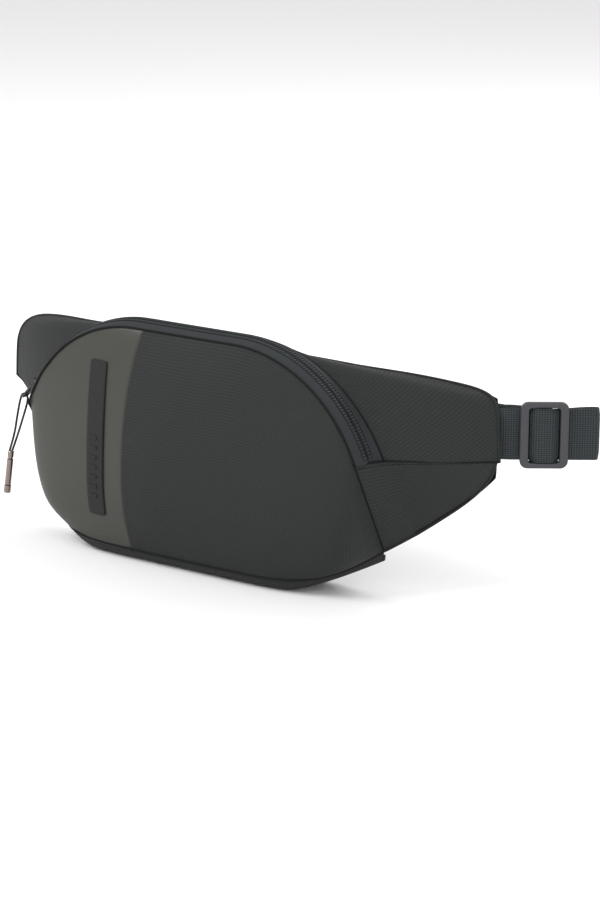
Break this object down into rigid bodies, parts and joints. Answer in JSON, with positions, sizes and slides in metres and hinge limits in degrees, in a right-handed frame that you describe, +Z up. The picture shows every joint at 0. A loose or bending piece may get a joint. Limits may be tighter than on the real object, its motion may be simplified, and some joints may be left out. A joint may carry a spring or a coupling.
{
  "type": "waist bag",
  "caption": "Curved waist bag with an arched zip pouch, padded wings, webbing belt with a sliding adjuster and release buckle, and a rear zip pocket.",
  "frame": {"origin": "middle of the flat base, on the surface the bag stands on", "axes": "+X along the bag's width towards the adjuster, -Y out of the front panel, +Z up"},
  "size_m": [0.4103, 0.111, 0.1464],
  "materials": {
    "ribstop": "matte ribstop polyester, fine grid",
    "coated": "smooth coated polyester, soft satin",
    "label": "matte moulded strip",
    "zip_tape": "woven twill tape",
    "zip_coil": "nylon coil",
    "piping": "folded fabric binding",
    "lining": "plain woven lining",
    "mesh": "air mesh over foam",
    "webbing": "ribbed woven webbing",
    "acetal": "satin moulded plastic",
    "slider_metal": "black painted die-cast zinc",
    "cord": "braided cord",
    "puller_metal": "turned, warm gunmetal plating",
    "hook_metal": "black painted zinc"
  },
  "bodies": {
    "bag": {"front_panel_lower": "ribstop", "coated_panel_lower": "coated", "front_lining_lower": "lining", "label_strip_lower": "label", "label_bars": "label", "zip_tape_rear": "zip_tape", "zip_tape_end": "zip_tape", "zip_coil_rear": "zip_coil", "piping_base": "piping", "wing_upper_right": "ribstop", "wing_upper_left": "ribstop", "wing_lower_right": "ribstop", "wing_lower_left": "ribstop", "back_panel": "mesh", "base_gusset": "ribstop", "back_foam_left": "mesh", "back_foam_right": "mesh", "pocket_zip_tape_upper": "zip_tape", "pocket_zip_tape_lower": "zip_tape", "pocket_zip_coils": "zip_coil", "belt_right": "webbing", "belt_left": "webbing", "belt_ring": "acetal", "ring_tab": "webbing", "buckle_socket": "acetal", "buckle_plug": "acetal", "slip_pocket": "lining", "back_lining": "lining", "key_leash": "webbing", "key_swivel_eye": "hook_metal"},
    "front_flap": {"front_panel_upper": "ribstop", "coated_panel_upper": "coated", "front_lining_upper": "lining", "label_strip_upper": "label", "zip_tape_front": "zip_tape", "zip_coil_front": "zip_coil", "piping_top": "piping"},
    "main_slider": {"main_slider": "slider_metal"},
    "main_pull": {"main_pull_tab": "slider_metal"},
    "puller": {"pull_cord": "cord", "puller_cap": "puller_metal", "puller_barrel": "puller_metal", "puller_end_ring": "puller_metal"},
    "triglide": {"triglide": "acetal", "webbing_over_bar": "webbing", "belt_sewn_end": "webbing"},
    "prong_upper": {"buckle_prong_upper": "acetal"},
    "prong_lower": {"buckle_prong_lower": "acetal"},
    "pocket_slider": {"pocket_slider": "slider_metal"},
    "pocket_pull": {"pocket_pull": "slider_metal"},
    "key_hook": {"key_hook": "hook_metal"},
    "key_gate": {"key_gate": "hook_metal"}
  },
  "joints": [
    {"name": "front_flap_fold", "type": "hinge", "parent": "bag", "child": "front_flap", "pos_m": [0, -0.03225, 0.084], "axis": [1, 0, 0], "range_deg": [0, 40]},
    {"name": "main_slider_travel", "type": "hinge", "parent": "bag", "child": "main_slider", "pos_m": [-0.037, -0.00725, 0.0495], "axis": [0, 1, 0], "range_deg": [0, 63]},
    {"name": "main_pull_swing", "type": "hinge", "parent": "main_slider", "child": "main_pull", "pos_m": [-0.1263, -0.00725, 0.09395], "axis": [0, 1, 0], "range_deg": [0, 105]},
    {"name": "puller_swing", "type": "hinge", "parent": "main_pull", "child": "puller", "pos_m": [-0.13348, -0.00725, 0.08677], "axis": [0, 1, 0], "range_deg": [-4, 34]},
    {"name": "triglide_slide", "type": "slide", "parent": "bag", "child": "triglide", "axis": [0.7986, 0.6018, 0], "range_m": [-0.005, 0.014]},
    {"name": "prong_upper_press", "type": "hinge", "parent": "bag", "child": "prong_upper", "pos_m": [0.0044, 0.03875, 0.11], "axis": [0, -1, 0], "range_deg": [0, 7], "stiffness_Nm_per_rad": 0.1},
    {"name": "prong_lower_press", "type": "hinge", "parent": "bag", "child": "prong_lower", "pos_m": [0.0044, 0.03875, 0.09], "axis": [0, 1, 0], "range_deg": [0, 7], "stiffness_Nm_per_rad": 0.1},
    {"name": "pocket_slider_travel", "type": "slide", "parent": "bag", "child": "pocket_slider", "axis": [1, 0, 0], "range_m": [0, 0.138]},
    {"name": "pocket_pull_swing", "type": "hinge", "parent": "pocket_slider", "child": "pocket_pull", "pos_m": [-0.07, 0.02775, 0.12], "axis": [0, 0, 1], "range_deg": [0, 170]},
    {"name": "key_hook_swivel", "type": "hinge", "parent": "bag", "child": "key_hook", "pos_m": [0.078, 0.01025, 0.086], "axis": [0, 0, 1], "range_deg": [-45, 45]},
    {"name": "key_gate_press", "type": "hinge", "parent": "key_hook", "child": "key_gate", "pos_m": [0.0826, 0.01025, 0.0689], "axis": [0, -1, 0], "range_deg": [0, 20], "stiffness_Nm_per_rad": 0.004}
  ],
  "couplings": [
    {"joint": "prong_lower_press", "follows": "prong_upper_press", "ratio": 1}
  ]
}
